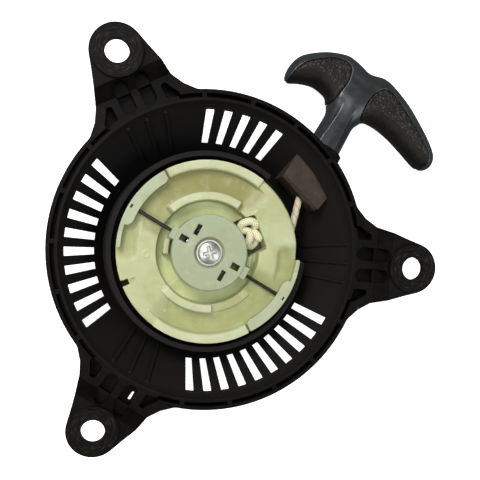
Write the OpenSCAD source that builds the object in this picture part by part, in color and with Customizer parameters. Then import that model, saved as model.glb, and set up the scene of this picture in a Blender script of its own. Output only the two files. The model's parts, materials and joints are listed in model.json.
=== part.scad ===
// Recoil starter for a small engine, seen with the engine side up.
// The origin is the centre of the bolt circle on the plane of the three mounting pads.
// +Z points out of the pads towards the engine, and +X runs through one mounting ear.

/* [Mounting] */
// Diameter of the circle through the three mounting holes
bolt_circle_d = 216; // [212:1:222]
// Diameter of each mounting hole
hole_d = 12; // [8:0.5:14]
// Diameter of the raised pad round each hole
pad_d = 25.8; // [24:0.2:27]
// Height of the pads above the rim of the bowl
pad_rise = 9; // [8:0.5:10]

/* [Bowl] */
// Outer diameter of the rim
rim_d = 166.4; // [165:0.2:168]
// Height of the rim's outer wall
rim_h = 10; // [8:0.5:11]
// Overall height from the mounting plane to the back
total_h = 47; // [46:0.5:50]
// Thickness of the moulded walls
wall = 2.4; // [2:0.1:3]
// Inner radius of the conical wall at the inner end of the air slots
slot_r_in = 60.5; // [60:0.5:62]
// Radius at the outer end of the air slots
slot_r_out = 75; // [72:0.5:76]
// Angular width of an air slot in degrees
slot_angle = 3.6; // [3:0.1:4.2]
// Outer radius of the drum wall round the reel
drum_r = 54; // [53.5:0.1:54.5]

/* [Reel] */
// Radius of the reel's flanges
reel_r = 48.7; // [48:0.1:49]
// Radius of the core that the rope winds on
core_r = 33; // [32.5:0.1:33.5]
// Outer radius of the winding of rope
winding_r = 44.9; // [43:0.1:45]
// Radius of the fixed post that the reel turns on
post_r = 7; // [6.5:0.1:7.4]

/* [Rope and handle] */
// Diameter of the starter rope
rope_d = 3.4; // [3:0.1:4]
// Direction of the pull, in degrees from +X
pull_angle = 64.5; // [64:0.5:65]
// Distance of the pull line from the reel's axis
pull_offset = 28.4; // [28:0.2:29]
// Thickness of the handle's crossbar
bar_t = 18; // [16:0.5:20]

/* [Retainer and pawls] */
// Radius of the retainer cap
cap_r = 20.2; // [19.8:0.1:20.4]
// Diameter of the drive wires between the cap and the pawls
wire_d = 1.9; // [1.6:0.1:2]
// Angle of the drive wires at rest
wire_angle = 153.4; // [152:0.2:155]
// How far the second pawl stands out of its recess at rest
pawl_lead = 3; // [0:0.5:4]

/* [Hidden] */
$fn = 96;
eps = 0.05;
gap = 0.3;

// Heights, all measured from the mounting plane
rim_top = -pad_rise;
rim_low = rim_top - rim_h;
back_z = -total_h;
floor_z = back_z + 3;
wall_top = -20.8;
post_top = -20;

// The conical wall: radius of its inner face at a height
cone_low_z = -36.5;
cone_rise = 1.628;
function cone_r(z) = slot_r_in + (z - cone_low_z) / cone_rise;
cone_t = wall * sqrt(1 + pow(1 / cone_rise, 2));

// Ears
ear_count = 3;
ear_r = bolt_circle_d / 2;
ear_slot_w = 7.2;
ear_slot_y = 5.7;
ear_slot_start = 83;
ear_slot_step = 89.4;
ear_slot_end = 92.2;
ear_slot_floor = -9.9;
counterbore_r = 9.4;
counterbore_top = -4;
slot_pitch = 7.5;

// Rim pockets between the webs
pocket_r_in = 79;
pocket_r_out = 81.1;
pocket_depth = 7;
web_pitch = 18.3;
web_half = 0.9;

// Reel heights
reel_low = -35.5;
groove_low = -33;
groove_top = -23;
plateau_z = -18.5;
band_z = -17;
recess_z = -20.8;
well_r = 27.5;
well_floor = -25;
hub_r = 10.5;

// Pawls
pawl_pivot_angle = 126;
pawl_pivot_r = 45.5;
pawl_low = recess_z + gap;
pawl_in_r = 42.7;
pawl_out_r = reel_r - 0.1;
pawl_tail_r = 46.4;
pawl_heel = 123;
pawl_lug = 164;
pawl_tip = 181;

// Cap
cap_top = -12.5;
cap_ceiling = -14.5;
wire_z = -19.1;
tab_r = 23;

// Rope: it leaves the winding on a tangent, bends in the guide and runs out along the pull line
rope_z = -27;
tangent_angle = 80;
tangent_r = winding_r - rope_d / 2;
pull_dir = [cos(pull_angle), sin(pull_angle)];
pull_side = [sin(pull_angle), -cos(pull_angle)];
tangent_dir = [cos(tangent_angle), sin(tangent_angle)];
tangent_side = [sin(tangent_angle), -cos(tangent_angle)];
bend_run = (tangent_r * (tangent_side * pull_side) - pull_offset) / -(tangent_dir * pull_side);
rope_bend = tangent_r * tangent_side + bend_run * tangent_dir;
rope_start_run = sqrt(pow(winding_r + gap + rope_d / 2, 2) - pow(tangent_r, 2));
bend_along = rope_bend * pull_dir;

// Places along the pull line, measured from the foot of the reel's axis
collar_r = 11;
collar_end = 82;
handle_start = 78;
eyelet_start = 64;
flange_start = handle_start - gap - 1.2;
knot_seat = 118;
stem_r = 9.2;
neck_r = 8;

// ---------- helpers ----------

// Ring segment: a solid between two radii, two heights and two angles
module ring_segment(r1, r2, z1, z2, a1, a2) {
    rotate([0, 0, a1])
        rotate_extrude(angle = a2 - a1)
            translate([r1, z1])
                square([r2 - r1, z2 - z1]);
}

// Tube standing on z1
module tube(r_in, r_out, z1, z2) {
    difference() {
        translate([0, 0, z1]) cylinder(r = r_out, h = z2 - z1);
        translate([0, 0, z1 - 1]) cylinder(r = r_in, h = z2 - z1 + 2);
    }
}

// Solid that fills the inside of the cone up to a height, shrunk by a clearance
module cone_inside(top, clear = 0) {
    translate([0, 0, floor_z])
        cylinder(r1 = cone_r(floor_z) - clear, r2 = cone_r(top) - clear, h = top - floor_z);
}

// Places its children on the pull line: local +X runs outwards along the pull
module on_pull_line() {
    translate([pull_offset * pull_side[0], pull_offset * pull_side[1], rope_z])
        rotate([0, 0, pull_angle])
            children();
}

// Cylinder along local +X from x1 to x2
module rod(r1, r2, x1, x2) {
    translate([x1, 0, 0]) rotate([0, 90, 0]) cylinder(r1 = r1, r2 = r2, h = x2 - x1);
}

// Points of a circular arc about the origin
function arc(r, a1, a2, n) = [for (i = [0:n]) r * [cos(a1 + (a2 - a1) * i / n), sin(a1 + (a2 - a1) * i / n)]];

// Closed smooth curve through hand-placed points
function spline(p, n) = [
    for (i = [0:len(p) - 1], k = [0:n - 1])
        let (
            a = p[(i + len(p) - 1) % len(p)],
            b = p[i],
            c = p[(i + 1) % len(p)],
            d = p[(i + 2) % len(p)],
            t = k / n
        )
        0.5 * (2 * b + (c - a) * t + (2 * a - 5 * b + 4 * c - d) * t * t + (3 * b - 3 * c + d - a) * t * t * t)
];

// ---------- housing ----------

// Outside of the bowl: floor with a shallow dish, cone and rim
module bowl_outside() {
    rotate_extrude()
        polygon([
            [0, back_z + 1], [26, back_z + 1], [27, back_z], [cone_r(back_z) + cone_t, back_z],
            [cone_r(rim_low) + cone_t, rim_low], [rim_d / 2 - 0.8, rim_low], [rim_d / 2, rim_low + 0.8],
            [rim_d / 2, rim_top - 0.6], [rim_d / 2 - 0.6, rim_top], [0, rim_top]
        ]);
}

// Outline of one ear, with concave flanks that run out into the rim
ear_flank = [[69, 44], [73.5, 36.5], [78, 29.5], [83, 24.6], [89, 21], [97, 17.8], [105, 15.1]];
module ear_outline() {
    polygon(concat(
        [for (p = ear_flank) [p[0], -p[1]]],
        [for (p = arc(pad_d / 2 + 0.7, -72, 72, 18)) p + [ear_r, 0]],
        [for (i = [len(ear_flank) - 1:-1:0]) ear_flank[i]]
    ));
}

// Body of one ear: a little below the rim's top, then stepping up to the pad
module ear() {
    intersection() {
        translate([0, 0, rim_low]) linear_extrude(-rim_low) ear_outline();
        rotate([90, 0, 0])
            linear_extrude(120, center = true)
                polygon([
                    [66, rim_low + 0.2], [84, rim_low + 0.2], [98, -10], [130, -10], [130, -1.4], [96.5, -1.4],
                    [90, rim_top - 0.15], [66, rim_top - 0.15]
                ]);
    }
    translate([ear_r, 0, -10.1]) cylinder(d = pad_d, h = 10.1);
}

// What is cut out of one ear: the mounting hole, its counterbore, two long slots and two side pockets
module ear_cuts() {
    translate([ear_r, 0, back_z]) cylinder(d = hole_d, h = total_h + 1);
    translate([ear_r, 0, back_z]) cylinder(r = counterbore_r, h = counterbore_top - back_z);
    for (s = [-1, 1]) {
        // Each slot is a blind pocket, deeper on the rim's side
        translate([0, s * ear_slot_y, rim_top - 5]) linear_extrude(20) {
            translate([ear_slot_start, 0]) circle(d = ear_slot_w);
            translate([ear_slot_start, -ear_slot_w / 2]) square([ear_slot_step - ear_slot_start, ear_slot_w]);
        }
        translate([0, s * ear_slot_y, ear_slot_floor]) linear_extrude(20) {
            translate([ear_slot_end, 0]) circle(d = ear_slot_w);
            translate([ear_slot_step - 1, -ear_slot_w / 2]) square([ear_slot_end - ear_slot_step + 1, ear_slot_w]);
        }
        // Wider pocket that the rim's last pocket runs into, a little deeper than it
        translate([0, 0, rim_top - pocket_depth - 0.4])
            linear_extrude(pocket_depth + 2)
                polygon([
                    [79.6, s * 13.4], [86.2, s * 13.4], [87, s * 14.2], [87, s * 16.2], [83.5, s * 18.2],
                    [80.2, s * 20.4], [77.8, s * 20.4]
                ]);
    }
}

// Small opening in the floor of one slot of the third ear
module slot_opening() {
    rotate([0, 0, 240]) translate([0, ear_slot_y + 2.4, rim_low - 1]) linear_extrude(rim_h) hull() {
        translate([ear_slot_start + 0.6, 0]) circle(r = 0.9);
        translate([ear_slot_start + 4, 0]) circle(r = 0.9);
    }
}

// One sixth of the rim's pockets, on one side of the middle of a bay
module rim_pockets(s) {
    for (k = [0:2]) {
        a1 = k * web_pitch + web_half;
        a2 = min((k + 1) * web_pitch - web_half, 46);
        ring_segment(pocket_r_in, pocket_r_out, rim_top - pocket_depth, rim_top + 1,
            s > 0 ? a1 : -a2, s > 0 ? a2 : -a1);
    }
}

// True where an air slot is: the bays between the ears, less the stretch by the rope outlet
function slot_here(a) = abs((a % 120) - 60) < 41 && !(a > 20 && a < 60);

module air_slots() {
    half = slot_angle / 2;
    for (i = [0:47]) {
        a = slot_pitch * (i + 0.5);
        if (slot_here(a))
            rotate([0, 0, a])
                translate([0, 0, back_z - 1])
                    linear_extrude(rim_top - 1 - back_z)
                        polygon([
                            [slot_r_in * cos(half), -slot_r_in * sin(half)],
                            [slot_r_out * cos(half), -slot_r_out * sin(half)],
                            [slot_r_out * cos(half), slot_r_out * sin(half)],
                            [slot_r_in * cos(half), slot_r_in * sin(half)]
                        ]);
    }
}

// Low ribs on the inside of the cone, below each ear
module cone_ribs() {
    for (e = [0:ear_count - 1], s = [-1, 0, 1])
        rotate([0, 0, e * 120 + s * 8])
            rotate([90, 0, 0])
                linear_extrude(1.6, center = true)
                    polygon([
                        [cone_r(-40) - 1.3, -40], [cone_r(-12) - 1.3, -12],
                        [cone_r(-12) + 1, -12], [cone_r(-40) + 1, -40]
                    ]);
}

// Drum wall round the reel, open where the rope leaves
module drum_wall() {
    difference() {
        tube(drum_r - 2.8, drum_r, floor_z - 0.5, wall_top);
        ring_segment(drum_r - 4, drum_r + 1, -37, wall_top + 1, -3, 56);
    }
    for (a = [-3, 56])
        rotate([0, 0, a]) translate([drum_r - 1.4, 0, floor_z - 0.4]) cylinder(r = 1.7, h = wall_top - floor_z + 0.3);
}

module housing() color([0.13, 0.12, 0.11]) difference() {
    union() {
        difference() {
            union() {
                bowl_outside();
                for (e = [0:ear_count - 1]) rotate([0, 0, e * 120]) ear();
                on_pull_line() rod(collar_r, collar_r, 58, collar_end);
            }
            cone_inside(rim_top + 1);
        }
        cone_ribs();
        drum_wall();
        translate([0, 0, floor_z - 0.5]) cylinder(r = post_r, h = post_top - floor_z + 0.5);
        rotate([0, 0, hook_angle]) translate([33.5, 0, floor_z - 0.5]) cylinder(r = 2.2, h = 7.5);
    }
    for (e = [0:ear_count - 1]) rotate([0, 0, e * 120]) ear_cuts();
    slot_opening();
    for (b = [60, 180, 300], s = [-1, 1]) rotate([0, 0, b]) rim_pockets(s);
    air_slots();
    // Seat of the post insert
    translate([0, 0, -32]) cylinder(r = 4.5, h = 20);
    on_pull_line() {
        rod(4, 4, 50, flange_start + eps);
        rod(stem_r + 0.4, stem_r + 0.4, flange_start, collar_end + 1);
    }
}

// Block that turns the rope from the reel into the outlet, seated against the cone
module rope_guide() color([0.27, 0.24, 0.21]) difference() {
    intersection() {
        translate([0, 0, -36])
            linear_extrude(18)
                polygon([[37.2, 44], [56.5, 27.3], [58.6, 28.4], [64.5, 36.5], [64, 40], [46, 58], [44.2, 57]]);
        cone_inside(rim_top, 0.15);
    }
    // Bevel along the edge that faces the reel
    rotate([0, 0, 49.5]) translate([57.5, 0, -18]) rotate([0, 45, 0]) cube([2.4, 60, 2.4], center = true);
    // Passage for the rope, which turns inside the block
    translate([rope_bend[0], rope_bend[1], rope_z]) {
        rotate([0, 0, tangent_angle]) rod(2.4, 2.4, -30, 1);
        rotate([0, 0, pull_angle]) rod(2.45, 2.45, -1, 30);
    }
}

// Flanged steel eyelet that lines the outlet
module rope_eyelet() color([0.62, 0.62, 0.63]) on_pull_line() difference() {
    union() {
        rod(3.95, 3.95, eyelet_start, flange_start);
        rod(6.5, 6.5, flange_start + eps, handle_start - gap);
        rod(3.95, 3.95, flange_start - 1, flange_start + 1);
    }
    rod(2.3, 2.3, eyelet_start - 1, handle_start);
}

// Brass insert in the top of the post, which the centre screw threads into
module post_insert() color([0.75, 0.6, 0.3]) tube(3.05, 4.45, -31.9, post_top);

// Spiral power spring in the well below the reel
spring_turns = 9;
spring_steps = spring_turns * 30;
spring_in = 12;
spring_out = 28.2;
spring_t = 0.7;
hook_angle = 200;
function spiral(i, side) =
    (spring_in + (spring_out - spring_in) * i / spring_steps + side * spring_t / 2) * [cos(12 * i), sin(12 * i)];
module power_spring() color([0.35, 0.37, 0.4])
    translate([0, 0, floor_z + 0.5])
        rotate([0, 0, hook_angle]) {
            linear_extrude(11.5)
                polygon(concat(
                    [for (i = [0:spring_steps]) spiral(i, 1)],
                    [for (i = [spring_steps:-1:0]) spiral(i, -1)]
                ));
            translate([spring_out - 0.2, -spring_t, 0]) cube([3, spring_t, 7]);
        }

// Pan-head screw with a cross recess
module centre_screw() color([0.78, 0.78, 0.8]) difference() {
    union() {
        translate([0, 0, -31]) cylinder(r = 3, h = 31 - 14.6 + eps);
        translate([0, 0, -14.6]) cylinder(r = 6.15, h = 2.2);
        translate([0, 0, -12.4]) cylinder(r1 = 6.15, r2 = 4.2, h = 1.4);
    }
    for (a = [20, 110]) rotate([0, 0, a]) translate([-3.2, -0.6, -13]) cube([6.4, 1.2, 3]);
}

// Sleeve that the retainer cap turns on
module centre_bush() color([0.6, 0.6, 0.62]) tube(3.05, 4.2, post_top + eps, -15.15);

module thrust_washer() color([0.7, 0.7, 0.7]) tube(3.1, 6.8, -15.1, -14.65);

// ---------- reel ----------

// Places its children twice, half a turn apart
module twice() {
    for (a = [0, 180]) rotate([0, 0, a]) children();
}

module reel() color([0.8, 0.84, 0.68]) difference() {
    union() {
        difference() {
            rotate_extrude()
                polygon([
                    [post_r + 0.06, -43.7], [hub_r, -43.7], [hub_r, -27], [30, -27], [30, reel_low],
                    [reel_r - 0.5, reel_low], [reel_r, reel_low + 0.5], [reel_r, groove_low], [core_r, groove_low],
                    [core_r, groove_top], [reel_r, groove_top], [reel_r, plateau_z - 0.5],
                    [reel_r - 0.5, plateau_z], [well_r, plateau_z], [well_r, well_floor], [hub_r, well_floor],
                    [hub_r, -21], [post_r + 0.06, -21]
                ]);
            // Low sectors that the wires sweep over, and the recesses under the pawls
            twice() ring_segment(well_r - 1, 43.6, recess_z, plateau_z + 1, 50, 160);
            twice() ring_segment(40, reel_r + 1, recess_z - eps, plateau_z + 1, pawl_heel - 1.6, 183);
        }
        // Raised band along the rim, arc ridges round the well and stop beside each cap tab
        twice() ring_segment(43.5, reel_r - 0.1, recess_z - 1, band_z, 56, pawl_heel - 1.7);
        for (a = [[60, 137], [222, 278]]) ring_segment(well_r + 0.1, 32.5, recess_z - 1, band_z, a[0], a[1]);
        twice() ring_segment(21, 24.2, well_floor - 1, plateau_z + 0.5, 165, 186);
        // Pawl pivot pins
        twice() rotate([0, 0, pawl_pivot_angle])
            translate([pawl_pivot_r, 0, recess_z - 1]) cylinder(r = 1.6, h = 3.3);
        rotate([0, 0, 185.5]) translate([33, 0, 0]) tube(1.2, 2, plateau_z - 1, plateau_z + 0.4);
    }
    // Pocket for the knot, and the hole that the rope passes through
    translate([22.4, 10.6, -29.9]) rotate([0, 0, 25]) translate([-6.2, -9.6, 0]) cube([12.2, 19.4, 20]);
    translate([0, 0, rope_z - 0.5]) rotate([0, 0, 25]) rod(2, 2, 26, 34);
    // Notch and gate mark in the rim
    rotate([0, 0, 204]) translate([44.6, -1.5, groove_top - 1]) cube([6, 3, 8]);
    rotate([0, 0, 204.7]) translate([42.4, 0, plateau_z - 1]) cylinder(r = 1.5, h = 3);
}

// The wound rope as one solid of its outer shape
module rope_wound() color([0.9, 0.86, 0.74])
    tube(core_r + 0.2, winding_r, groove_low + 0.4, groove_top - 0.4);

// Knot in the reel's pocket, with its tail through the core
module reel_knot() color([0.93, 0.9, 0.78]) {
    translate([20.4, 14.7, -20.4]) sphere(r = 4.4, $fn = 48);
    translate([26, 9.2, -20.8]) sphere(r = 3.1, $fn = 48);
    translate([22.6, 12.4, -21]) rotate([0, 0, -44]) rod(2.4, 2.4, 0, 4);
    translate([24.2, 11.3, rope_z - 0.5]) cylinder(r = 1.7, h = 7.5);
    translate([0, 0, rope_z - 0.5]) rotate([0, 0, 25]) rod(1.7, 1.7, 26.7, core_r + 0.15);
}

// ---------- pawls ----------

function pawl_outline() = concat(
    arc(pawl_out_r, pawl_heel, pawl_tip - 1, 16),
    [(pawl_out_r - 0.6) * [cos(pawl_tip), sin(pawl_tip)], (pawl_tail_r + 0.6) * [cos(pawl_tip), sin(pawl_tip)]],
    arc(pawl_tail_r, pawl_tip - 1, pawl_lug + 2, 6),
    [44.6 * [cos(165.4), sin(165.4)], 43.2 * [cos(163.6), sin(163.6)]],
    arc(pawl_in_r, pawl_lug - 3, pawl_heel + 3, 12),
    [(pawl_in_r + 1.2) * [cos(pawl_heel), sin(pawl_heel)]]
);

// One pawl at the first position: a curved arm with a lug and a thin tip
module pawl_shape() {
    difference() {
        translate([0, 0, pawl_low]) linear_extrude(band_z - pawl_low) polygon(pawl_outline());
        // Blind bore for the pivot pin
        rotate([0, 0, pawl_pivot_angle])
            translate([pawl_pivot_r, 0, pawl_low - 1]) cylinder(r = 1.65, h = 3.7);
        // Slot below the top web, where the drive wire's end slides
        ring_segment(40, 46, pawl_low - 1, -17.9, 138.8, 156);
        // Small window over the wire's end
        rotate([0, 0, 153.2]) translate([46.4, -0.9, pawl_low - 1]) cube([1.1, 2, 6]);
    }
}

module pawl_a() color([0.84, 0.87, 0.72]) pawl_shape();

module pawl_b() color([0.84, 0.87, 0.72]) {
    pivot = pawl_pivot_r * [cos(pawl_pivot_angle + 180), sin(pawl_pivot_angle + 180)];
    translate([pivot[0], pivot[1], 0])
        rotate([0, 0, -pawl_lead])
            translate([-pivot[0], -pivot[1], 0])
                rotate([0, 0, 180]) pawl_shape();
}

// ---------- retainer ----------

module retainer_cap() color([0.76, 0.8, 0.64]) difference() {
    union() {
        rotate_extrude()
            polygon([
                [4.25, -19.7], [6.8, -19.7], [6.8, -17.1], [9.3, -17.1], [10.5, cap_ceiling],
                [cap_r - 1.6, cap_ceiling],
                [cap_r - 1.6, -24.5], [cap_r, -24.5], [cap_r, cap_top - 0.6], [cap_r - 0.6, cap_top],
                [8.3, cap_top], [7.2, -15.2], [4.25, -15.2]
            ]);
        twice() rotate([0, 0, wire_angle + 1]) translate([cap_r - 1, -3.4, -20.6]) cube([tab_r - cap_r + 1, 6.8, 7.6]);
    }
    // Windows left by the mould behind the snap hooks
    twice() rotate([0, 0, 155.4]) translate([13, -1.7, -20]) cube([4.8, 3.4, 10]);
    twice() rotate([0, 0, 121.5]) translate([13.6, 0, -20]) rotate([0, 0, 33]) cube([2.5, 6, 20], center = true);
    // Blind holes that hold the drive wires
    twice() translate([0, 0, wire_z]) rotate([0, 0, wire_angle]) rod(wire_d / 2 + eps, wire_d / 2 + eps, 20.6, 30);
}

module drive_wire() {
    translate([0, 0, wire_z]) rod(wire_d / 2, wire_d / 2, 20.8, 45.2);
}

module drive_wire_a() color([0.16, 0.16, 0.17]) rotate([0, 0, wire_angle]) drive_wire();

module drive_wire_b() color([0.16, 0.16, 0.17]) rotate([0, 0, wire_angle + 180]) drive_wire();

// Coil spring that presses the cap up, so that it drags against the screw
coil_r = 13;
coil_wire_r = 0.8;
coil_turns = 4;
coil_low = well_floor + eps + coil_wire_r;
coil_rise = cap_ceiling - eps - coil_wire_r - coil_low;
function coil_ring(i, n) = [
    for (k = [0:7])
        let (a = 360 * coil_turns * i / n, b = 45 * k, r = coil_r + coil_wire_r * cos(b))
        [r * cos(a), r * sin(a), coil_low + coil_rise * i / n + coil_wire_r * sin(b)]
];
module friction_spring() color([0.5, 0.5, 0.52]) {
    n = coil_turns * 16;
    points = [for (i = [0:n]) each coil_ring(i, n)];
    sides = [
        for (i = [0:n - 1], k = [0:7])
            [i * 8 + k, i * 8 + (k + 1) % 8, (i + 1) * 8 + (k + 1) % 8, (i + 1) * 8 + k]
    ];
    polyhedron(points, concat([[for (k = [7:-1:0]) k]], sides, [[for (k = [0:7]) n * 8 + k]]));
}

// ---------- rope and handle ----------

// Rope from the winding, through the guide and the eyelet, to the handle
module rope_run() color([0.9, 0.86, 0.74])
    translate([rope_bend[0], rope_bend[1], rope_z]) {
        rotate([0, 0, tangent_angle]) rod(rope_d / 2, rope_d / 2, rope_start_run - bend_run, gap);
        rotate([0, 0, pull_angle])
            rod(rope_d / 2 + eps, rope_d / 2 + eps, -gap, handle_start - bend_along - gap);
    }

// Outline of the crossbar on the pull line's local axes: one side, the outer edge, then the other side
bar_points = [
    [104, -7.4], [107.2, -12], [108.3, -20], [107.3, -30], [104.6, -41], [101.9, -51], [102.4, -56.6],
    [107, -58.9], [112.5, -56.9], [118, -50], [123.3, -40.5], [128.4, -30], [132, -19], [133.3, -10.5],
    [131.2, -2], [132.6, 9], [132.2, 15.5], [127.4, 26], [119, 36], [111.5, 39], [105, 38.7], [102.6, 36],
    [106, 29.5], [108.5, 22], [107.6, 13.5], [104, 8]
];
pad_right = [
    [108.5, -12], [109.4, -20], [108.6, -30], [105.8, -41], [103.4, -50], [104.4, -55.2], [109, -56.6],
    [113.4, -51.5], [118, -42.5], [122.3, -32], [124.4, -22], [121.8, -14.5], [115.5, -10.2]
];
pad_left = [
    [109.2, 12.6], [109.6, 22], [107.6, 29], [106.6, 33.6], [110.6, 35.4], [117, 32.2], [123.4, 25],
    [126.8, 17.5], [124.6, 10.4], [118.4, 8.4]
];

module handle_body() color([0.2, 0.21, 0.22]) on_pull_line() difference() {
    union() {
        translate([0, 0, -bar_t / 2]) linear_extrude(bar_t) polygon(spline(bar_points, 3));
        rod(stem_r, neck_r, handle_start, 112);
    }
    for (p = [pad_right, pad_left]) translate([0, 0, -bar_t]) linear_extrude(2 * bar_t) polygon(spline(p, 3));
    rod(2.1, 2.1, handle_start - 1, 125);
    rod(5.5, 5.5, knot_seat, 136);
}

// Soft grip pad, a little proud of the bar
module grip(p) {
    translate([0, 0, -bar_t / 2 - 0.4]) linear_extrude(bar_t + 0.8) polygon(spline(p, 3));
}

module grip_left() color([0.19, 0.16, 0.15]) on_pull_line() grip(pad_left);

module grip_right() color([0.19, 0.16, 0.15]) on_pull_line() grip(pad_right);

module knot_washer() color([0.7, 0.7, 0.7]) on_pull_line() difference() {
    rod(5.3, 5.3, knot_seat + eps, knot_seat + 1.5);
    rod(2, 2, knot_seat - 1, knot_seat + 3);
}

// Rope inside the handle, and the knot that holds it there
module handle_knot() color([0.93, 0.9, 0.78]) on_pull_line() {
    rod(rope_d / 2, rope_d / 2, handle_start, knot_seat + 4);
    translate([knot_seat + 6.3, 0, 0]) sphere(r = 4.6, $fn = 48);
}

housing();
rope_guide();
rope_eyelet();
post_insert();
power_spring();
centre_screw();
centre_bush();
thrust_washer();
reel();
rope_wound();
reel_knot();
pawl_a();
pawl_b();
retainer_cap();
drive_wire_a();
drive_wire_b();
friction_spring();
rope_run();
handle_body();
grip_left();
grip_right();
knot_washer();
handle_knot();
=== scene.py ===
import json
import math

import bpy
import numpy as np
from mathutils import Matrix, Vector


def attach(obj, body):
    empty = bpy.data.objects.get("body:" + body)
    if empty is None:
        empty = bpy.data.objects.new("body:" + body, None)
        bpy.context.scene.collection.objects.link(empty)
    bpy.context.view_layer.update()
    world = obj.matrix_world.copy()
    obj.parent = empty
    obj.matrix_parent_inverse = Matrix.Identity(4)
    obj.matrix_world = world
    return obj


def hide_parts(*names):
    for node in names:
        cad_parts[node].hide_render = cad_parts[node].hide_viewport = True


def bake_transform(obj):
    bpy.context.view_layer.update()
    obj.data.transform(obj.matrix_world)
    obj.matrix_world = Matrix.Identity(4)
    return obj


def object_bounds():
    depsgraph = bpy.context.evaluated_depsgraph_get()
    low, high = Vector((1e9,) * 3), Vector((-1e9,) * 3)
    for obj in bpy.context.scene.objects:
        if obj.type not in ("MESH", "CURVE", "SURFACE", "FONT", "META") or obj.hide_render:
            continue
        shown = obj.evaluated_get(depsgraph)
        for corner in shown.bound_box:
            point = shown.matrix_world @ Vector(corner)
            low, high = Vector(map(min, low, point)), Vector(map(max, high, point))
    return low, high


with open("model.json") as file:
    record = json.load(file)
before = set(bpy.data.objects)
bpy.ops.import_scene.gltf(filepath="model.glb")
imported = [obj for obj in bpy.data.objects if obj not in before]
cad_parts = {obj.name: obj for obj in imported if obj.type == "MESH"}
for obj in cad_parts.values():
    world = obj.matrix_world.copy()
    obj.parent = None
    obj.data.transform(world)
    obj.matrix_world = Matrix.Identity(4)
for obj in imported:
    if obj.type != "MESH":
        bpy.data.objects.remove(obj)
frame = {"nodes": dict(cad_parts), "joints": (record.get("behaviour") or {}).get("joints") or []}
nodes = frame["nodes"]
cad_low, cad_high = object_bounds()
MM = 0.001

# The pull line: where the handle's stem and the rope lie, as the CAD source sets it (millimetres)
PULL_AXIS = next(j["axis"] for j in frame["joints"] if j["name"] == "handle_pull")
PULL_ANGLE = math.atan2(PULL_AXIS[1], PULL_AXIS[0])
PULL_OFFSET = 28.4
ROPE_Z = -27.0
# The visible rope, and its braid: strands round it, and the length of one turn of a strand
ROPE_R = 1.95
STRANDS = 8
BRAID_PITCH = 10.0
# Where the rope leaves the winding, and the mean radius of the winding's outer layer
TANGENT_ANGLE = math.radians(80)
WINDING_R = 43.2
# Circle of the mounting holes
EAR_R = 108.0


def turned(x, y, angle):
    """Point (x, y) turned about the origin."""
    return x * math.cos(angle) - y * math.sin(angle), x * math.sin(angle) + y * math.cos(angle)


def on_pull_line(x, y, z):
    """Frame coordinates of a point given along, left of and above the pull line, all in millimetres."""
    u, v = turned(x, y - PULL_OFFSET, PULL_ANGLE)
    return u, v, ROPE_Z + z


# ---------- camera, floor and lights ----------

# Fitted to the mounting holes, the rim and the slots: turns in radians, aim and height in millimetres
CAMERA_TILT = (0.0852, 0.1651)
CAMERA_ROLL = math.radians(-4.504856)
CAMERA_AIM = (9.7349, -22.7671, 340.0)
CAMERA_ORIGIN_Z = -24.0
LENS = 47.068
SHIFT = (0.0316, 0.1135)


def make_camera():
    view = (
        Matrix.Rotation(CAMERA_TILT[0], 4, "X")
        @ Matrix.Rotation(CAMERA_TILT[1], 4, "Y")
        @ Matrix.Rotation(CAMERA_ROLL, 4, "Z")
    ).transposed()
    place = view @ Matrix.Translation([v * MM for v in CAMERA_AIM])
    place.translation.z += CAMERA_ORIGIN_Z * MM
    data = bpy.data.cameras.new("camera")
    data.lens, data.sensor_width = LENS, 36
    data.shift_x, data.shift_y = SHIFT
    data.clip_start, data.clip_end = 0.01, 20
    camera = bpy.data.objects.new("camera", data)
    bpy.context.scene.collection.objects.link(camera)
    camera.matrix_world = place
    bpy.context.scene.camera = camera


def make_light(name, place, size, power, color=(1, 1, 1)):
    """Soft square light at a place in metres, aimed at the middle of the object."""
    data = bpy.data.lights.new(name, "AREA")
    data.size, data.energy, data.color = size, power, color
    light = bpy.data.objects.new(name, data)
    bpy.context.scene.collection.objects.link(light)
    target = (cad_low + cad_high) / 2
    light.location = place
    light.rotation_euler = (target - light.location).to_track_quat("-Z", "Y").to_euler()


def make_stage():
    """A lit pale floor that doesn't light the object, four soft lights and a dim white world."""
    size, depth, gap = 3.0, 0.02, 0.0002
    floor = bpy.data.meshes.new("floor")
    top = cad_low.z - gap
    corners = [(x, y, z) for z in (top - depth, top) for y in (-size, size) for x in (-size, size)]
    sides = [(0, 2, 3, 1), (4, 5, 7, 6), (0, 1, 5, 4), (2, 6, 7, 3), (0, 4, 6, 2), (1, 3, 7, 5)]
    floor.from_pydata(corners, [], sides)
    floor_object = bpy.data.objects.new("floor", floor)
    bpy.context.scene.collection.objects.link(floor_object)
    floor.materials.append(floor_material())
    floor_object.visible_diffuse = floor_object.visible_glossy = False
    make_light("key", (-0.45, 0.55, 0.75), 0.45, 9.0, (1.0, 0.985, 0.95))
    make_light("fill", (0.7, -0.3, 0.6), 0.6, 3.2, (0.93, 0.97, 1.0))
    make_light("soft", (-0.6, -0.35, 0.8), 0.6, 3.4)
    make_light("overhead", (0.0, 0.1, 1.1), 0.5, 2.2, (0.95, 0.98, 1.0))
    world = bpy.data.worlds.new("world")
    world.use_nodes = True
    background = world.node_tree.nodes["Background"].inputs
    background["Color"].default_value = (1, 1, 1, 1)
    background["Strength"].default_value = 0.16
    bpy.context.scene.world = world
    bpy.context.scene.view_settings.view_transform = "Standard"


# ---------- materials ----------


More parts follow.
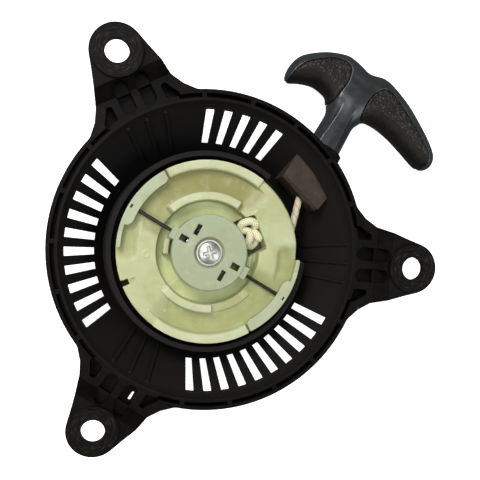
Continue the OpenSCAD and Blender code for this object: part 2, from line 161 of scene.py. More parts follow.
class Nodes:
    """A material's node tree, with short calls for the nodes that every material here uses."""

    def __init__(self, name, **shader_values):
        self.material = bpy.data.materials.new(name)
        self.material.use_nodes = True
        self.tree = self.material.node_tree
        self.shader = self.tree.nodes["Principled BSDF"]
        for socket, value in shader_values.items():
            self.shader.inputs[socket.replace("_", " ")].default_value = value
        self.coords = self.add("ShaderNodeTexCoord").outputs["Object"]
        self.normal = None

    def round_edges(self, radius_mm):
        """Shades sharp edges as if they had a small round on them."""
        self.normal = self.add("ShaderNodeBevel", {"Radius": radius_mm * MM}, samples=4).outputs["Normal"]

    def add(self, kind, inputs=None, **settings):
        node = self.tree.nodes.new(kind)
        for key, value in settings.items():
            setattr(node, key, value)
        for key, value in (inputs or {}).items():
            if isinstance(value, bpy.types.NodeSocket):
                self.tree.links.new(value, node.inputs[key])
            else:
                node.inputs[key].default_value = value
        return node

    def math(self, operation, a, b=0.0):
        return self.add("ShaderNodeMath", {0: a, 1: b}, operation=operation).outputs[0]

    def product(self, a, b):
        return self.math("MULTIPLY", a, b)

    def length(self, x, y):
        """Length of (x, y)."""
        return self.math("SQRT", self.math("ADD", self.product(x, x), self.product(y, y)))

    def noise(self, size_mm, detail=3.0, roughness=0.55, coords=None):
        inputs = {
            "Vector": coords or self.coords, "Scale": 1 / (size_mm * MM),
            "Detail": detail, "Roughness": roughness,
        }
        return self.add("ShaderNodeTexNoise", inputs).outputs["Fac"]

    def cells(self, size_mm):
        inputs = {"Vector": self.coords, "Scale": 1 / (size_mm * MM)}
        return self.add("ShaderNodeTexVoronoi", inputs, feature="SMOOTH_F1").outputs["Distance"]

    def ramp(self, value, *stops):
        """Colour from (position, colour) stops."""
        node = self.add("ShaderNodeValToRGB", {"Fac": value})
        ends = node.color_ramp.elements
        while len(ends) < len(stops):
            ends.new(0.5)
        for element, (position, color) in zip(ends, stops):
            element.position = position
            element.color = (*color, 1)
        return node.outputs["Color"]

    def span(self, value, low, high, to_low=0.0, to_high=1.0):
        """Value mapped from one range to another, and held at its ends."""
        inputs = {"Value": value, "From Min": low, "From Max": high, "To Min": to_low, "To Max": to_high}
        return self.add("ShaderNodeMapRange", inputs).outputs["Result"]

    def mix(self, factor, a, b):
        """Colour a where the factor is 0, colour b where it is 1."""
        node = self.add("ShaderNodeMix", data_type="RGBA")
        for key, value in ((0, factor), (6, a), (7, b)):
            if isinstance(value, bpy.types.NodeSocket):
                self.tree.links.new(value, node.inputs[key])
            else:
                node.inputs[key].default_value = (*value, 1) if isinstance(value, tuple) else value
        return node.outputs[2]

    def axes(self, vector=None):
        """The x, y and z of a vector, by default the object coordinates."""
        return self.add("ShaderNodeSeparateXYZ", {"Vector": vector or self.coords}).outputs

    def bump(self, height, distance_mm, strength):
        """Adds a bump on top of those already added."""
        inputs = {"Height": height, "Distance": distance_mm * MM, "Strength": strength}
        if self.normal:
            inputs["Normal"] = self.normal
        self.normal = self.add("ShaderNodeBump", inputs).outputs["Normal"]

    def link(self, socket, value):
        self.tree.links.new(value, self.shader.inputs[socket])

    def done(self):
        if self.normal:
            self.link("Normal", self.normal)
        return self.material


def floor_material():
    m = Nodes("floor", Roughness=0.9, Emission_Strength=0.85, Emission_Color=(1, 1, 1, 1))
    m.link("Base Color", m.ramp(m.noise(40), (0.3, (0.9, 0.9, 0.9)), (0.7, (0.93, 0.93, 0.93))))
    return m.done()


def black_plastic(name, dark, light, roughness, grain_mm, grain, gloss_level):
    """Moulded plastic: blotchy near-black colour, fine grain and uneven gloss."""
    m = Nodes(name, Specular_IOR_Level=gloss_level)
    m.round_edges(0.5)
    m.base = m.ramp(m.noise(9, detail=5), (0.3, dark), (0.72, light))
    m.bump(m.noise(grain_mm, detail=2), 0.05, grain)
    m.bump(m.noise(6), 0.25, 0.25)
    m.gloss = m.span(m.noise(3.5, detail=4), 0.3, 0.7, roughness - 0.07, roughness + 0.09)
    return m


def housing_material():
    m = black_plastic(
        "housing_plastic", dark=(0.002, 0.0018, 0.0016), light=(0.0055, 0.0047, 0.004),
        roughness=0.4, grain_mm=0.5, grain=0.5, gloss_level=0.07,
    )
    x, y, z = m.axes()
    # Rings that washers wore into each mounting pad
    wear = None
    for ear in range(3):
        ear_x, ear_y = turned(EAR_R * MM, 0, math.radians(120 * ear))
        dx, dy = m.math("SUBTRACT", x, ear_x), m.math("SUBTRACT", y, ear_y)
        radius = m.length(dx, dy)
        turn = m.math("ARCTAN2", dy, dx)
        ring_coords = m.add("ShaderNodeCombineXYZ", {"X": radius, "Y": m.product(turn, 0.0022)}).outputs[0]
        rings = m.span(m.noise(0.9, detail=3, coords=ring_coords), 0.52, 0.72)
        mask = m.product(m.span(radius, 0.0126, 0.0118), m.span(z, -0.0012, -0.0003))
        here = m.product(rings, mask)
        wear = here if wear is None else m.math("MAXIMUM", wear, here)
    # Scuffs and paler blotches on the raised faces
    high = m.span(z, -0.012, -0.008)
    scuff = m.product(m.span(m.noise(2.2, detail=6, roughness=0.7), 0.58, 0.75), high)
    face = m.product(m.span(m.noise(14, detail=4), 0.35, 0.75), high)
    color = m.mix(face, m.base, (0.007, 0.0056, 0.0042))
    color = m.mix(m.product(scuff, 0.4), color, (0.03, 0.026, 0.022))
    color = m.mix(m.product(wear, 0.5), color, (0.05, 0.043, 0.035))
    # The bowl inside the rim is a little paler
    from_axis = m.length(x, y)
    in_bowl = m.product(m.span(z, -0.006, -0.014), m.span(from_axis, 0.079, 0.0775))
    color = m.mix(in_bowl, color, (0.0125, 0.0115, 0.011))
    m.link("Base Color", color)
    m.link("Roughness", m.math("SUBTRACT", m.gloss, m.product(scuff, 0.12)))
    m.bump(wear, 0.06, 0.6)
    return m.done()


def guide_material():
    m = Nodes("guide_plastic", Specular_IOR_Level=0.25)
    m.round_edges(0.8)
    grain = m.noise(0.45, detail=2, roughness=0.8)
    color = m.ramp(m.noise(5, detail=4), (0.3, (0.026, 0.018, 0.012)), (0.7, (0.05, 0.036, 0.025)))
    m.link("Base Color", m.mix(m.span(grain, 0.6, 0.75), color, (0.13, 0.1, 0.075)))
    m.link("Roughness", m.span(grain, 0.3, 0.7, 0.5, 0.7))
    m.bump(grain, 0.2, 1.0)
    return m.done()


def nylon(name, deep, middle, top, roughness=0.4, upper_shade=0.0, wear_and_highlight=0.0):
    """Natural nylon, translucent, coloured by height from deep to top: partly its own colour, partly painted
    light and shade.
    """
    m = Nodes(
        name, Subsurface_Weight=0.25, Subsurface_Scale=0.004, Subsurface_Radius=(1.0, 1.0, 0.5),
        Specular_IOR_Level=0.35,
    )
    m.round_edges(0.45)
    _, y, z = m.axes()
    uneven = m.span(m.noise(16, detail=2), 0.3, 0.7, -0.0008, 0.0008)
    level = m.span(m.math("ADD", z, uneven), -0.0255, -0.0165)
    # Painted light and shade by height: the recess level darker as painted shade, the deep well's floor
    # painted lighter than its shade, and the highest faces a paler lit colour as painted highlight
    lit = tuple(1 - 0.86 * (1 - c) for c in top)
    color = m.ramp(level, (0.0, deep), (0.45, middle), (0.8, top), (1.0, lit))
    blotch = m.span(m.noise(11, detail=3), 0.5, 0.75)
    color = m.mix(m.product(blotch, 0.4), color, (0.34, 0.28, 0.1))
    # Painted shade: the upper part of the low floor darker and browner, as in the shadow of the band above it
    low_part = m.product(m.span(z, -0.0185, -0.0195), m.span(z, -0.0245, -0.0225))
    upper = m.span(m.math("ADD", y, m.span(m.noise(13, detail=3), 0.3, 0.7, -0.008, 0.008)), 0.004, 0.036)
    shaded_upper = m.product(m.product(upper, low_part), upper_shade)
    color = m.mix(shaded_upper, color, (0.235, 0.205, 0.062))
    milky = m.span(m.noise(7, detail=4), 0.55, 0.8)
    color = m.mix(m.product(milky, 0.3), color, (0.62, 0.68, 0.5))
    speck = m.span(m.noise(0.8, detail=2), 0.74, 0.8)
    color = m.mix(m.product(speck, 0.25), color, (0.2, 0.18, 0.1))
    # Painted shade: the pocket's floor and all below it are dark
    color = m.mix(m.span(z, -0.0255, -0.0264), color, (0.07, 0.068, 0.025))
    # Wear and painted highlight: sharp edges paler, as if worn and catching the light
    edge = m.span(m.add("ShaderNodeNewGeometry").outputs["Pointiness"], 0.51, 0.57)
    color = m.mix(m.product(edge, wear_and_highlight), color, (0.68, 0.74, 0.55))
    m.link("Base Color", color)
    m.link("Roughness", m.span(m.noise(4), 0.3, 0.7, roughness - 0.06, roughness + 0.08))
    m.bump(m.noise(5, detail=2), 0.2, 0.3)
    m.bump(m.noise(0.6, detail=2), 0.02, 0.4)
    return m.done()


def steel(name, color, roughness):
    """Plated or blued steel with fine scratches and uneven gloss."""
    m = Nodes(name, Metallic=1.0)
    x, y, z = m.axes()
    stretched = m.add("ShaderNodeCombineXYZ", {"X": x, "Y": m.product(y, 4), "Z": z}).outputs[0]
    scratch = m.noise(0.4, detail=3, coords=stretched)
    shade = tuple(0.72 * c for c in color)
    m.link("Base Color", m.ramp(m.noise(1.6, detail=4), (0.3, shade), (0.7, color)))
    m.link("Roughness", m.span(scratch, 0.3, 0.7, roughness - 0.06, roughness + 0.1))
    m.bump(scratch, 0.02, 0.35)
    return m.done()


def brass_material():
    m = Nodes("brass", Metallic=1.0)
    m.link("Base Color", m.ramp(m.noise(1.2, detail=4), (0.3, (0.52, 0.36, 0.13)), (0.7, (0.78, 0.58, 0.26))))
    m.link("Roughness", m.span(m.noise(0.5), 0.3, 0.7, 0.25, 0.42))
    m.bump(m.noise(0.3), 0.02, 0.3)
    return m.done()


def wire_material():
    m = Nodes("black_wire")
    m.link("Base Color", m.ramp(m.noise(2), (0.3, (0.006, 0.006, 0.007)), (0.75, (0.02, 0.02, 0.023))))
    m.link("Roughness", m.span(m.noise(0.7), 0.3, 0.7, 0.24, 0.42))
    m.bump(m.noise(0.5), 0.02, 0.4)
    return m.done()


def rope_material():
    """Cream braid: strands cross in two directions, with dark and orange tracer strands."""
    m = Nodes("rope_braid", Sheen_Weight=0.3, Sheen_Roughness=0.5)
    uv = m.add("ShaderNodeUVMap", uv_map="braid").outputs["UV"]
    u, v, _ = m.axes(uv)
    around = m.product(v, STRANDS)
    left = m.math("FRACT", m.math("ADD", around, u))
    right = m.math("FRACT", m.math("SUBTRACT", around, u))
    lifted = [m.math("SINE", m.product(side, math.pi)) for side in (left, right)]
    weave = m.math("MAXIMUM", lifted[0], lifted[1])
    which = m.math("FLOOR", m.math("ADD", around, u))
    fleck = m.noise(1.1, detail=1)
    tracer = m.math("LESS_THAN", m.math("FLOORED_MODULO", which, 4.0), 1.0)
    tracer = m.product(tracer, m.span(weave, 0.75, 0.9))
    # The knot in the reel is clean, and yellower than the rope
    x, y, _ = m.axes()
    from_axis = m.length(x, y)
    running = m.span(from_axis, 0.034, 0.036)
    tracer = m.product(tracer, running)
    dark = m.product(tracer, m.span(fleck, 0.5, 0.54))
    orange = m.product(tracer, m.span(fleck, 0.44, 0.4))
    color = m.ramp(m.noise(4, detail=3), (0.3, (0.6, 0.54, 0.38)), (0.7, (0.78, 0.73, 0.55)))
    color = m.mix(running, (0.84, 0.81, 0.54), color)
    # Painted shade: the grooves between the strands are darker
    crossing = m.product(lifted[0], lifted[1])
    color = m.mix(m.span(crossing, 0.0, 0.4), (0.4, 0.34, 0.18), color)
    color = m.mix(dark, color, (0.05, 0.045, 0.05))
    color = m.mix(m.product(orange, 0.8), color, (0.5, 0.2, 0.06))
    m.link("Base Color", color)
    m.link("Roughness", m.span(weave, 0.0, 1.0, 0.85, 0.6))
    m.bump(weave, 0.2, 0.5)
    m.bump(m.noise(0.25, detail=2), 0.05, 0.7)
    return m.done()


def handle_material():
    m = black_plastic(
        "handle_plastic", dark=(0.012, 0.0145, 0.0155), light=(0.026, 0.031, 0.033),
        roughness=0.27, grain_mm=0.7, grain=0.12, gloss_level=0.6,
    )
    smear = m.span(m.noise(12, detail=5, roughness=0.65), 0.4, 0.75)
    m.link("Base Color", m.mix(m.product(smear, 0.5), m.base, (0.03, 0.036, 0.04)))
    m.link("Roughness", m.math("ADD", m.gloss, m.product(smear, 0.08)))
    return m.done()


def grip_material():
    m = Nodes("grip_rubber", Specular_IOR_Level=0.33)
    pebble = m.cells(1.25)
    fine = m.noise(0.35, detail=2)
    color = m.ramp(m.noise(8, detail=4), (0.3, (0.003, 0.0024, 0.002)), (0.7, (0.008, 0.006, 0.0045)))
    # Towards the fingers the pads are smooth
    normal = m.add("ShaderNodeTexCoord").outputs["Normal"]
    back = (-math.cos(PULL_ANGLE), -math.sin(PULL_ANGLE), 0)
    facing = m.add("ShaderNodeVectorMath", {0: normal, 1: back}, operation="DOT_PRODUCT").outputs["Value"]
    pebbled = m.span(facing, 0.42, 0.2)
    # Wear and painted highlight: pebble tops paler, standing in for the glints on them
    wear_and_highlight = m.product(m.span(pebble, 0.4, 0.2), m.span(fine, 0.45, 0.65))
    wear_and_highlight = m.product(wear_and_highlight, pebbled)
    m.link("Base Color", m.mix(m.product(wear_and_highlight, 0.7), color, (0.15, 0.12, 0.09)))
    m.link("Roughness", m.span(pebble, 0.1, 0.6, 0.32, 0.6))
    m.bump(m.product(m.math("SUBTRACT", 1.0, pebble), pebbled), 0.5, 1.0)
    m.bump(fine, 0.06, 0.6)
    return m.done()


def make_materials():
    return {
        "housing_plastic": housing_material(),
        "guide_plastic": guide_material(),
        "plated_steel": steel("plated_steel", (0.72, 0.72, 0.68), 0.42),
        "brass": brass_material(),
        "spring_steel": steel("spring_steel", (0.2, 0.22, 0.27), 0.34),
        "reel_nylon": nylon(
            "reel_nylon", (0.56, 0.61, 0.3), (0.33, 0.35, 0.14), (0.46, 0.49, 0.27), upper_shade=0.75, wear_and_highlight=0.35,
        ),
        "pawl_nylon": nylon("pawl_nylon", (0.35, 0.38, 0.2), (0.38, 0.42, 0.24), (0.33, 0.38, 0.215)),
        "cap_nylon": nylon("cap_nylon", (0.28, 0.3, 0.16), (0.3, 0.34, 0.2), (0.23, 0.28, 0.125), 0.32),
        "black_wire": wire_material(),
        "rope_braid": rope_material(),
        "handle_plastic": handle_material(),
        "grip_rubber": grip_material(),
    }


# ---------- mesh helpers ----------


def add_piece(name, points, faces, body, material, replaced=()):
    """A smooth-shaded mesh piece from points in millimetres in the CAD frame, riding on a body."""
    mesh = bpy.data.meshes.new(name)
    vertices = [tuple(float(c) * MM for c in p) for p in points]
    mesh.from_pydata(vertices, [], [tuple(map(int, f)) for f in faces])
    mesh.materials.append(materials[material])
    mesh.polygons.foreach_set("use_smooth", [True] * len(mesh.polygons))
    mesh.update()
    piece = bpy.data.objects.new(name, mesh)
    bpy.context.scene.collection.objects.link(piece)
    if replaced:
        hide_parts(*replaced)
    if body:
        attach(piece, body)
    return piece


def surface_net(value, low, step):
    """Zero surface of a sampled solid: a point in each cell that it crosses, a quad on each edge."""
    inside = value < 0
    shape = np.array(value.shape) - 1
    corners = [(a, b, c) for a in (0, 1) for b in (0, 1) for c in (0, 1)]
    filled = sum(inside[a:a + shape[0], b:b + shape[1], c:c + shape[2]].astype(int) for a, b, c in corners)
    crossed = (filled > 0) & (filled < 8)
    number = np.full(crossed.shape, -1)
    number[crossed] = np.arange(crossed.sum())
    cell = np.argwhere(crossed)
    total, hits = np.zeros((len(cell), 3)), np.zeros(len(cell))
    for start in corners:
        for axis in range(3):
            if start[axis] == 0:
                end = tuple(s + (k == axis) for k, s in enumerate(start))
                va, vb = (value[tuple((cell + c).T)] for c in (start, end))
                cut = (va < 0) != (vb < 0)
                share = np.where(cut, va / np.where(cut, va - vb, 1), 0)
                total[cut] += (np.array(start) + share[:, None] * np.eye(3)[axis])[cut]
                hits += cut
    points = np.array(low) + step * (cell + total / hits[:, None])
    faces = []
    for axis in range(3):
        u, v = (axis + 1) % 3, (axis + 2) % 3
        first = np.moveaxis(inside, (axis, u, v), (0, 1, 2))
        cells = np.moveaxis(number, (axis, u, v), (0, 1, 2))
        a, b = first[:-1, 1:-1, 1:-1], first[1:, 1:-1, 1:-1]
        quad = [cells[:, :-1, :-1], cells[:, 1:, :-1], cells[:, 1:, 1:], cells[:, :-1, 1:]]
        out = a & ~b
        back = ~a & b
        faces.append(np.stack([q[out] for q in quad], 1))
        faces.append(np.stack([q[back] for q in quad[::-1]], 1))
    return points, np.concatenate(faces)


def sampled(low, high, step, solid):
    """Surface of a solid, given as a distance function, between two corners in millimetres."""
    axes = [np.arange(a, b + step, step) for a, b in zip(low, high)]
    x, y, z = np.meshgrid(*axes, indexing="ij", sparse=True)
    return surface_net(solid(x, y, z) + np.zeros([len(a) for a in axes]), low, step)


def polygon_distance(x, y, outline):
    """Signed distance to a closed outline, negative inside."""
    nearest = np.full(np.broadcast(x, y).shape, 1e9)
    inside = np.zeros(nearest.shape, bool)
    for (ax, ay), (bx, by) in zip(outline, np.roll(outline, -1, axis=0)):
        ex, ey = bx - ax, by - ay
        along = np.clip(((x - ax) * ex + (y - ay) * ey) / (ex * ex + ey * ey), 0, 1)
        nearest = np.minimum(nearest, (x - ax - along * ex) ** 2 + (y - ay - along * ey) ** 2)
        if ay != by:
            inside ^= ((ay > y) != (by > y)) & (x < ex * (y - ay) / ey + ax)
    return np.sqrt(nearest) * np.where(inside, -1, 1)


def smooth_min(a, b, reach):
    """Union of two distances that blends them over a reach in millimetres."""
    share = np.clip(0.5 + 0.5 * (b - a) / reach, 0, 1)
    return b + (a - b) * share - reach * share * (1 - share)


def smooth_max(a, b, reach):
    return -smooth_min(-a, -b, reach)


def slab(flat, z, half, radius):
    """Distance to a plate with round edges, from the flat distance to its outline and its half thickness."""
    side, top = flat + radius, np.abs(z) - (half - radius)
    return np.minimum(np.maximum(side, top), 0) + np.hypot(np.maximum(side, 0), np.maximum(top, 0)) - radius


def between(a, b, c, d, t):
    """Point at a share t of the way from b to c on a smooth curve that also passes a and d."""
    bend = (2 * a - 5 * b + 4 * c - d) * t * t
    return 0.5 * (2 * b + (c - a) * t + bend + (3 * b - 3 * c + d - a) * t ** 3)


def spline(points, steps=4):
    """Closed smooth curve through given points."""
    p = np.array(points, float)
    corners = [np.roll(p, k, axis=0) for k in (1, 0, -1, -2)]
    return np.stack([between(*corners, k / steps) for k in range(steps)], 1).reshape(-1, 2)


# ---------- rope ----------

# The hidden winding is plain rope, a little thinner than the space between its layers
WOUND = {"radius": 1.7, "spacing": 1.4, "sides": 12, "relief": 0}
LAYER_STEP = 3.2
WINDING_LOW, WINDING_MIDDLE = -31.1, -24.9
WINDING_STEPS = 36
# Paths of the knots: the reel's in the frame's millimetres, the handle's on the pull line
REEL_KNOT = [
    (31, 14.4, -27.3), (27.6, 13.4, -26.4), (24.8, 14.6, -23.8), (25, 17.2, -20.9), (21.6, 18.6, -19.9),
    (17.4, 16.6, -20.4), (17.8, 13.6, -21.8), (21.4, 12.8, -20.3), (22.2, 10, -19.4), (21.6, 6.6, -20.6),
    (23.6, 5.4, -23), (26, 8, -23.6), (24.4, 12, -22), (25.6, 11.8, -20.4), (28.4, 8.2, -20.3),
]
HANDLE_KNOT = [
    (80, 0, 0), (90, 0, 0), (100, 0, 0), (110, 0, 0), (118, 0, 0), (121, 0.6, 0.6), (123, 2.6, 1.2),
    (125.6, 1.6, 2.4), (126, -1.6, 2), (124, -2.7, -0.6), (122.4, -0.8, -2.6), (124.2, 2.2, -1.8),
    (126.4, 1.4, -0.4), (128.6, -0.6, 0),
]


def smooth_path(points, spacing):
    """Points at an even spacing along a smooth curve through given points."""
    p = np.array(points, float)
    p = np.vstack([2 * p[0] - p[1], p, 2 * p[-1] - p[-2]])
    fine = []
    for a, b, c, d in zip(p, p[1:], p[2:], p[3:]):
        fine.append(between(a, b, c, d, np.linspace(0, 1, 24, endpoint=False)[:, None]))
    fine = np.vstack(fine + [p[-2:-1]])
    along = np.concatenate([[0], np.cumsum(np.linalg.norm(np.diff(fine, axis=0), axis=1))])
    count = max(2, int(along[-1] / spacing))
    places = np.linspace(0, along[-1], count + 1)
    return np.stack([np.interp(places, along, fine[:, k]) for k in range(3)], 1), places


def rope_tube(
    name, points, body, replaced=(), radius=ROPE_R, spacing=0.4, sides=32, relief=0.22, tip=False,
):
    """Braided rope along a path in millimetres, with raised strands and its braid coordinates in a UV map."""
    path, along = smooth_path(points, spacing)
    ahead = np.gradient(path, axis=0)
    ahead /= np.linalg.norm(ahead, axis=1)[:, None]
    side = np.cross(ahead[0], (0, 0, 1) if abs(ahead[0][2]) < 0.9 else (1, 0, 0))
    angle = np.arange(sides) / sides
    verts, rings_uv = [], []
    for k, (centre, forward) in enumerate(zip(path, ahead)):
        side = side - forward * (side @ forward)
        side /= np.linalg.norm(side)
        other = np.cross(forward, side)
        u = along[k] * STRANDS / BRAID_PITCH
        strands = [np.sin(np.pi * ((STRANDS * angle + sign * u) % 1)) for sign in (1, -1)]
        from_end = min(along[k], along[-1] - along[k])
        end = math.sqrt(1 - (1 - min(from_end / radius, 1)) ** 2) if tip else 1
        r = (radius - relief * (1 - np.maximum(*strands))) * max(end, 0.25)
        turn = 2 * np.pi * angle
        verts.append(centre + r[:, None] * (np.cos(turn)[:, None] * side + np.sin(turn)[:, None] * other))
        rings_uv.append(u)
    rings = len(path)
    faces = []
    for k in range(rings - 1):
        for j in range(sides):
            a, b = k * sides + j, k * sides + (j + 1) % sides
            faces.append((a, b, b + sides, a + sides))
    faces.append(tuple(range(sides))[::-1])
    faces.append(tuple((rings - 1) * sides + j for j in range(sides)))
    piece = add_piece(name, np.concatenate(verts), faces, body, "rope_braid", replaced)
    uv = piece.data.uv_layers.new(name="braid").data
    for polygon in piece.data.polygons:
        for loop in polygon.loop_indices:
            vertex = piece.data.loops[loop].vertex_index
            ring, j = divmod(vertex, sides)
            past_seam = j == 0 and polygon.index % sides == sides - 1 and len(polygon.vertices) == 4
            uv[loop].uv = (rings_uv[ring], 1.0 if past_seam else j / sides)
    return piece


def make_rope():
    """The winding, the run to the handle and both knots."""
    # Two layers on the core: a full one, and the turns above it that end where the rope leaves
    leave = TANGENT_ANGLE - math.pi / 2

    def turns(count, radius, start_z, end_z):
        steps = int(count * WINDING_STEPS)
        points = []
        for k in range(steps + 1):
            angle = leave - 2 * math.pi * (count - k * count / steps)
            z = start_z + (end_z - start_z) * k / steps
            points.append((radius * math.cos(angle), radius * math.sin(angle), z))
        return points

    inner = turns(2.9, WINDING_R - LAYER_STEP, WINDING_LOW, WINDING_MIDDLE)
    outer = turns(2.2, WINDING_R, WINDING_MIDDLE, ROPE_Z - 0.1)
    rope_tube("rope_layer_inner", inner, "reel", **WOUND)
    rope_tube("rope_layer_outer", outer, "reel", ("rope_wound",), **WOUND)
    # From the winding on its tangent to the guide, then along the pull line into the handle
    x, y = WINDING_R * math.cos(leave), WINDING_R * math.sin(leave)
    forward = math.cos(TANGENT_ANGLE), math.sin(TANGENT_ANGLE)
    # Under the reel's flange the run starts just clear of the winding, so that the reel can turn without it
    tangent = [(x + forward[0] * t, y + forward[1] * t, ROPE_Z) for t in (18.6, 24, 30, 36, 42)]
    straight = [on_pull_line(t, 0, 0) for t in (61, 64, 68, 72, 76, 80)]
    run = rope_tube("rope_run_braided", tangent + straight, None, ("rope_run",))
    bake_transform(run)
    rope_tube("reel_knot_braided", REEL_KNOT, "reel", ("reel_knot",), radius=2.15, relief=0.34, tip=True)
    in_handle = [on_pull_line(*p) for p in HANDLE_KNOT]
    rope_tube("handle_knot_braided", in_handle, "handle", ("handle_knot",), tip=True)


# ---------- handle ----------

# Outlines on the pull line's own axes, in millimetres
BAR = [
    (104, -7.4), (107.2, -12), (108.3, -20), (107.3, -30), (104.6, -41), (101.9, -51), (102.4, -56.6),
    (107, -58.9), (112.5, -56.9), (118, -50), (123.3, -40.5), (128.4, -30), (132, -19), (133.3, -10.5),
    (131.2, -2), (132.6, 9), (132.2, 15.5), (127.4, 26), (119, 36), (111.5, 39), (105, 38.7), (102.6, 36),
    (106, 29.5), (108.5, 22), (107.6, 13.5), (104, 8),
]
PAD_RIGHT = [
    (106, -8.6), (110.5, -7.2), (114.4, -6.9), (119.3, -7.8), (124.4, -10.4), (126.2, -14), (125.8, -18.5),
    (123.1, -26.2), (118.7, -35.9), (113.8, -46.1), (109.4, -52.2), (104, -54.2), (99.6, -51.4), (102.6, -41),
    (105.3, -30), (106.3, -20), (105.2, -13),
]
PAD_LEFT = [
    (104.2, 10.2), (110.5, 9.1), (116.8, 8.3), (122.5, 8.8), (125.8, 10.8), (126.8, 14.7), (125.2, 20.4),
    (122.1, 25.2), (117.5, 30.5), (112.9, 33.9), (107.3, 35.9), (101.5, 36), (100.4, 33.6), (104, 28.5),
    (106.4, 22), (105.6, 14.5),
]
# Raised flat on the stem, with a ledge along its left side
PLATE = [
    (70, 6.5), (84, 6.2), (94.4, 5.1), (104.9, 4.7), (111, 5.2), (116, 6.4), (119.5, 4), (119.5, -3.5),
    (112, -4.2), (104, -3.4), (70, -3.4),
]
# Where each piece of the handle is sampled, and how finely
HANDLE_LOW, HANDLE_HIGH, HANDLE_STEP = (76.5, -61, -10.4), (135, 41.5, 10.4), 0.42
PAD_RIGHT_LOW, PAD_RIGHT_HIGH = (98, -60, -10.4), (135, -4, 10.4)
PAD_LEFT_LOW, PAD_LEFT_HIGH = (98, 4, -10.4), (135, 41.5, 10.4)
# Half thickness of the bar and the plate, and how round their edges are
BAR_HALF, BAR_ROUND = 9.0, 8.5
PLATE_HALF, PLATE_ROUND = 8.7, 0.9
# Stem: its ends along the pull line, and its radius where it starts to narrow
STEM_START, STEM_END, STEM_EDGE = 78.3, 116, 0.8
STEM_R, STEM_R_AT, STEM_TAPER = 9.2, 78, 0.034
STEM_FILLET = 6.5
# Passage of the rope, and the pocket behind it for the knot
PASSAGE_R, PASSAGE_END = 2.1, 125
KNOT_R, KNOT_START = 5.5, 118
# Pads: how deep they sit, how far they stand out, and the gaps round and under them
PAD_DEPTH = 2.2
PAD_PROUD = 0.35
PAD_EDGE = 0.9
PAD_UNDER = 0.2
SEAM = 0.15
SEAM_EDGE = 0.35


def handle_outside(x, y, z):
    """The handle without its pads' recesses: a rounded crossbar blended into a round stem."""
    bar = slab(polygon_distance(x, y, spline(BAR)), z, BAR_HALF, BAR_ROUND)
    stem = np.hypot(y, z) - (STEM_R - STEM_TAPER * (x - STEM_R_AT))
    stem = smooth_max(stem, np.maximum(STEM_START - x, x - STEM_END), STEM_EDGE)
    body = smooth_min(bar, stem, STEM_FILLET)
    plate = slab(polygon_distance(x, y, spline(PLATE)), z, PLATE_HALF, PLATE_ROUND)
    return smooth_min(body, smooth_max(plate, STEM_START - x, STEM_EDGE), PLATE_ROUND)


def handle_body_solid(x, y, z):
    """The handle with recesses for its pads and a bore for the rope and its knot."""
    outside = handle_outside(x, y, z)
    for pad in (PAD_RIGHT, PAD_LEFT):
        flat = polygon_distance(x, y, spline(pad))
        outside = smooth_max(outside, -np.maximum(flat - SEAM, -PAD_DEPTH - outside), SEAM_EDGE)
    radial = np.hypot(y, z)
    outside = np.maximum(outside, -np.maximum(radial - PASSAGE_R, x - PASSAGE_END))
    return np.maximum(outside, -np.maximum(radial - KNOT_R, KNOT_START - x))


def pad_solid(pad):
    """A pad as a distance function: a skin of the handle, inside the pad's outline."""
    def solid(x, y, z):
        outside = handle_outside(x, y, z)
        flat = polygon_distance(x, y, spline(pad)) + SEAM
        return np.maximum(smooth_max(flat, outside - PAD_PROUD, PAD_EDGE), PAD_UNDER - PAD_DEPTH - outside)

    return solid


def make_handle():
    """The handle's body and its two soft pads."""
    for name, slot_name, solid, box_low, box_high in (
        ("handle_body", "handle_plastic", handle_body_solid, HANDLE_LOW, HANDLE_HIGH),
        ("grip_right", "grip_rubber", pad_solid(PAD_RIGHT), PAD_RIGHT_LOW, PAD_RIGHT_HIGH),
        ("grip_left", "grip_rubber", pad_solid(PAD_LEFT), PAD_LEFT_LOW, PAD_LEFT_HIGH),
    ):
        points, faces = sampled(box_low, box_high, HANDLE_STEP, solid)
        placed = np.stack(on_pull_line(*points.T), 1)
        add_piece(name + "_shape", placed, faces, "handle", slot_name, (name,))


# ---------- reel ----------

REEL_R = 48.7
CORE_R = 33.0
PLATEAU = -18.5
RECESS = -20.8
BAND = -17.0
GROOVE_LOW, GROOVE_TOP = -33.0, -23.0
BORE_R = 7.06
HUB_R, HUB_TOP = 10.5, -21.0
FLOOR_R, FLOOR = 27.5, -25.0
# From the groove round the back to the bore, as radius and height
BACK_PROFILE = [
    (CORE_R, GROOVE_TOP - 0.3), (CORE_R, GROOVE_LOW + 0.3), (CORE_R + 0.3, GROOVE_LOW),
    (REEL_R - 0.4, GROOVE_LOW), (REEL_R, GROOVE_LOW - 0.4), (REEL_R, -35.1), (REEL_R - 0.5, -35.5),
    (30.4, -35.5), (30, -35.1), (30, -27.4), (29.6, -27), (10.9, -27), (10.5, -27.4), (10.5, -43.3),
    (10.1, -43.7), (BORE_R + 0.3, -43.7), (BORE_R, -43.4), (BORE_R, -21.3),
]
# Columns round the reel, steps along its face inside the core, and steps across the flange
COLUMNS, FACE_STEP, FLANGE_STEPS = 900, 0.36, 44
# Spots on the face: how far from the axis, at which angle, and their own radius
PIN_AT, PIN_ANGLE, PIN_R, PIN_TOP = 45.5, 126, 1.6, -18.6
RING_AT, RING_ANGLE, RING_R, RING_HALF, RING_RISE = 33, 185.5, 1.6, 0.4, 0.35
GATE_AT, GATE_ANGLE, GATE_R, GATE_DEPTH = 42.4, 204.7, 1.5, 0.9
# Pocket for the knot: middle, turn, half sizes inside its round corners, and floor
POCKET_X, POCKET_Y, POCKET_TURN = 22.4, 10.6, -25
POCKET_HALF, POCKET_CORNER, POCKET_FLOOR = (4.6, 8.2), 1.5, -26.8
# Notch in the rim: angle, radius at which its half width is taken, and where it starts
NOTCH_ANGLE, NOTCH_AT, NOTCH_HALF, NOTCH_FROM = 204, 46.6, 1.5, 44.5
